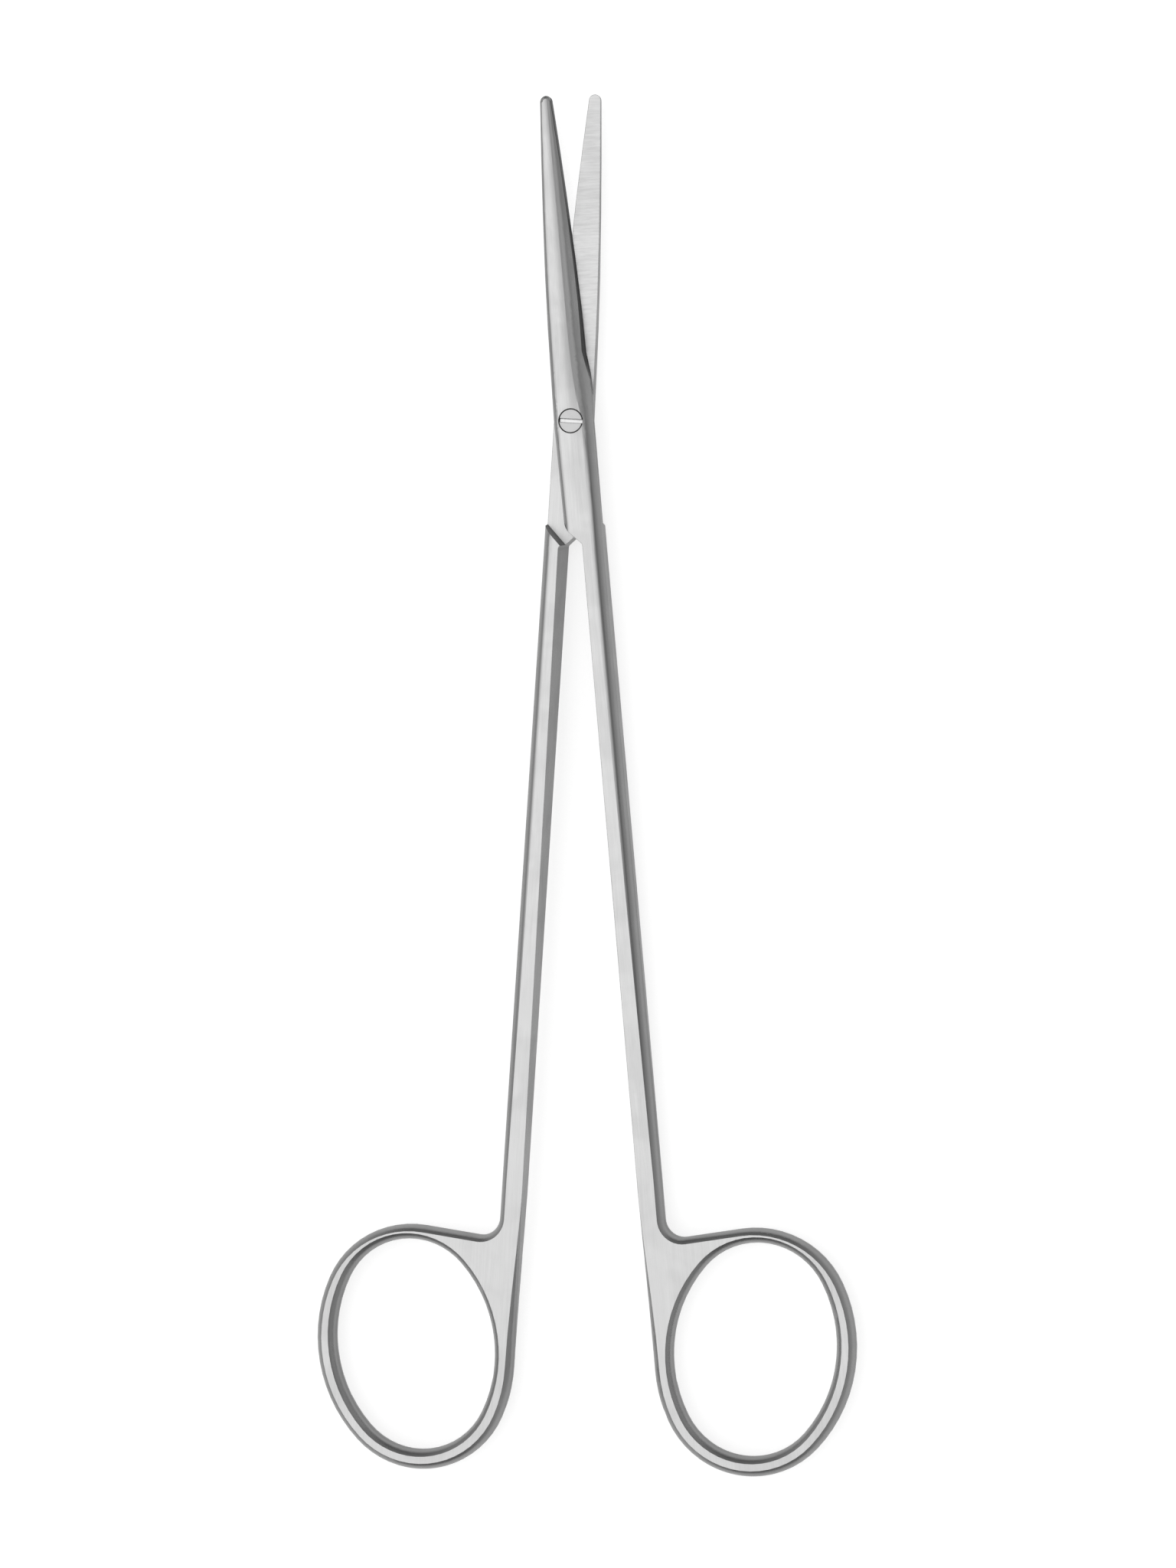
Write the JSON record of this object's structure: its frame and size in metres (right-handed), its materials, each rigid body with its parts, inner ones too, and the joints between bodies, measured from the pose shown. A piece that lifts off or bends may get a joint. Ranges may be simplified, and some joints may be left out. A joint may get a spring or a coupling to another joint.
{
  "type": "dissecting scissors",
  "caption": "Straight dissecting scissors with blunt round tips, a slotted pivot screw and oval finger rings.",
  "frame": {"origin": "where the pivot axis meets the plane that the scissors lie on, on the lower half's flat at the joint", "axes": "+Y from the joint towards the blade tips, +Z along the pivot axis and up through the screw head, +X to the side of the upper half's finger ring"},
  "size_m": [0.0712, 0.1776, 0.0044],
  "materials": {
    "satin_steel": "satin ground stainless steel",
    "screw_steel": "fine turned stainless steel"
  },
  "bodies": {
    "lower_body": {"lower_half": "satin_steel", "pivot_screw": "screw_steel"},
    "upper_body": {"upper_half": "satin_steel"}
  },
  "joints": [
    {"name": "pivot", "type": "hinge", "parent": "lower_body", "child": "upper_body", "pos_m": [0, 0, 0], "axis": [0, 0, 1], "range_deg": [-8.6, 149]}
  ]
}
